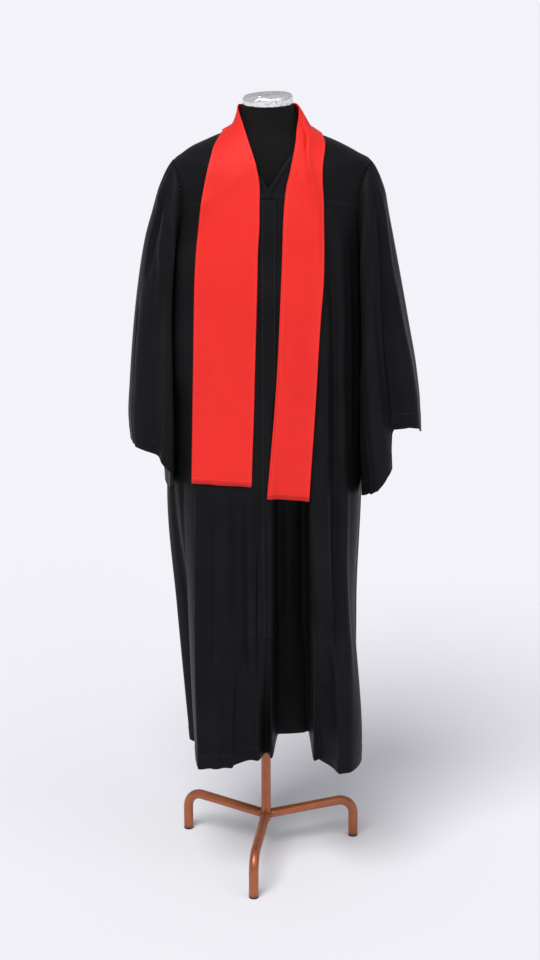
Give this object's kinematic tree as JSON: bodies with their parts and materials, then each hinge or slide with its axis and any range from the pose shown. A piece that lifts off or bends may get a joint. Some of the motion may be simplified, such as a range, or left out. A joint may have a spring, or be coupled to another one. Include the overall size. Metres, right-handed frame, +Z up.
{
  "type": "choir robe with stole on a dress form and stand",
  "caption": "Full-length yoked choir robe with wide bell sleeves and a hanging stole, worn by a limbless dress form on a footed tube stand.",
  "frame": {"origin": "on the floor, under the middle of the whole part's bounding box; the stand's pole is at x -0.0225 m, y +0.0075 m", "axes": "+Z up, -Y the front the wearer faces, +X the wearer's left"},
  "size_m": [0.6583, 0.4603, 1.7988],
  "materials": {
    "gown_cloth": "black matte-satin polyester",
    "stole_cloth": "bright red lined satin-weave cloth",
    "form_jersey": "black stretch jersey over a hard form",
    "cap_chrome": "bright, slightly rippled",
    "stand_paint": "copper-bronze gloss",
    "plug_rubber": "matt black"
  },
  "bodies": {
    "root": {"front_right": "gown_cloth", "front_left": "gown_cloth", "back": "gown_cloth", "yoke_front_right": "gown_cloth", "yoke_front_left": "gown_cloth", "yoke_back": "gown_cloth", "sleeve_right": "gown_cloth", "sleeve_left": "gown_cloth", "zip_fly": "gown_cloth", "neck_band_right": "gown_cloth", "neck_band_left": "gown_cloth", "stole_right": "stole_cloth", "stole_left": "stole_cloth", "form_torso": "form_jersey", "neck_cap": "cap_chrome", "stand_pole": "stand_paint", "stand_leg_right": "stand_paint", "stand_leg_left": "stand_paint", "stand_leg_front": "stand_paint", "foot_plug_right": "plug_rubber", "foot_plug_left": "plug_rubber", "foot_plug_front": "plug_rubber"}
  },
  "joints": []
}
